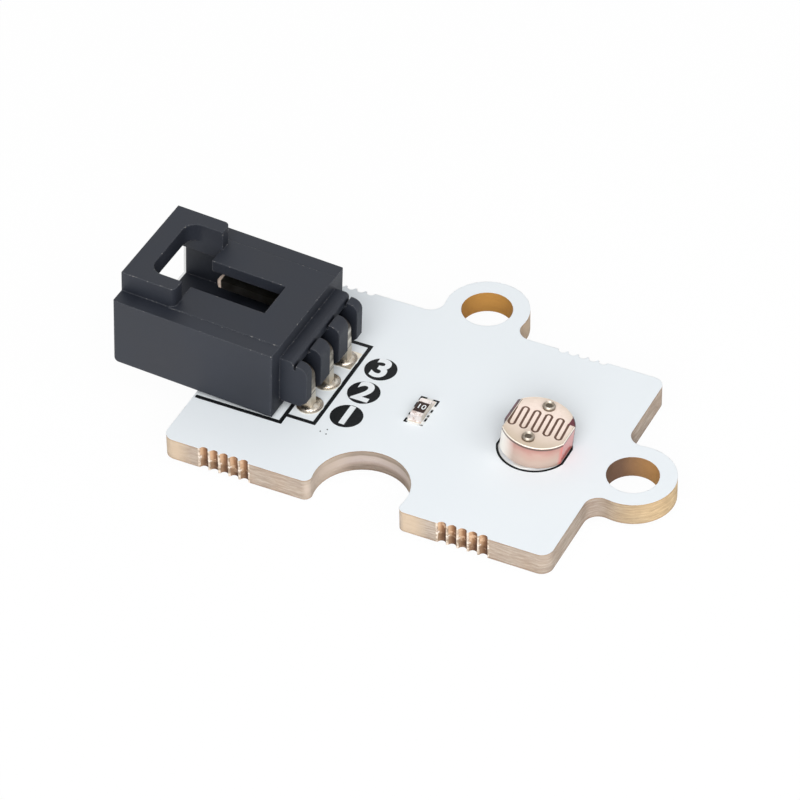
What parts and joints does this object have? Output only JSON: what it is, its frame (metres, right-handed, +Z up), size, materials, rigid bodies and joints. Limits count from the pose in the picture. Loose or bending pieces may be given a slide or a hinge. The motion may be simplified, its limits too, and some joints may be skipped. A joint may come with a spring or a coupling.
{
  "type": "light sensor module",
  "caption": "Light sensor on a small puzzle-shaped circuit board with two holed ears and a notch, with a black latched pin header for a plug-in cable.",
  "frame": {"origin": "centre of the end ear's hole, on the underside of the board", "axes": "+X runs along the board from the header to the end ear, +Y towards the back ear, +Z up from the board"},
  "size_m": [0.0377, 0.0232, 0.0106],
  "materials": {
    "white_mask": "smooth, semi-gloss",
    "black_print": "matt ink",
    "header_plastic": "fine moulded satin",
    "pin_metal": "bright plating",
    "pad_metal": "tinned, bright",
    "solder": "bright, with flux tints",
    "sensor_ceramic": "smooth",
    "sensor_film": "matt",
    "electrode_film": "satin",
    "clear_coat": "clear gloss coat",
    "lead_metal": "tinned",
    "chip_ceramic": "smooth",
    "chip_glaze": "gloss",
    "chip_metal": "tinned, bright"
  },
  "bodies": {
    "root": {"circuit_board": "white_mask", "board_print": "black_print", "header_housing": "header_plastic", "signal_pin": "pin_metal", "supply_pin": "pin_metal", "ground_pin": "pin_metal", "signal_pad": "pad_metal", "supply_pad": "pad_metal", "ground_pad": "pad_metal", "signal_solder": "solder", "supply_solder": "solder", "ground_solder": "solder", "sensor_base": "sensor_ceramic", "sensor_cell": "sensor_film", "front_electrode": "electrode_film", "back_electrode": "electrode_film", "front_lead": "lead_metal", "back_lead": "lead_metal", "sensor_coat": "clear_coat", "front_lead_pad": "pad_metal", "back_lead_pad": "pad_metal", "front_lead_solder": "solder", "back_lead_solder": "solder", "resistor_body": "chip_ceramic", "resistor_glaze": "chip_glaze", "front_terminal": "chip_metal", "back_terminal": "chip_metal", "front_land": "pad_metal", "back_land": "pad_metal", "front_land_solder": "solder", "back_land_solder": "solder"}
  },
  "joints": []
}
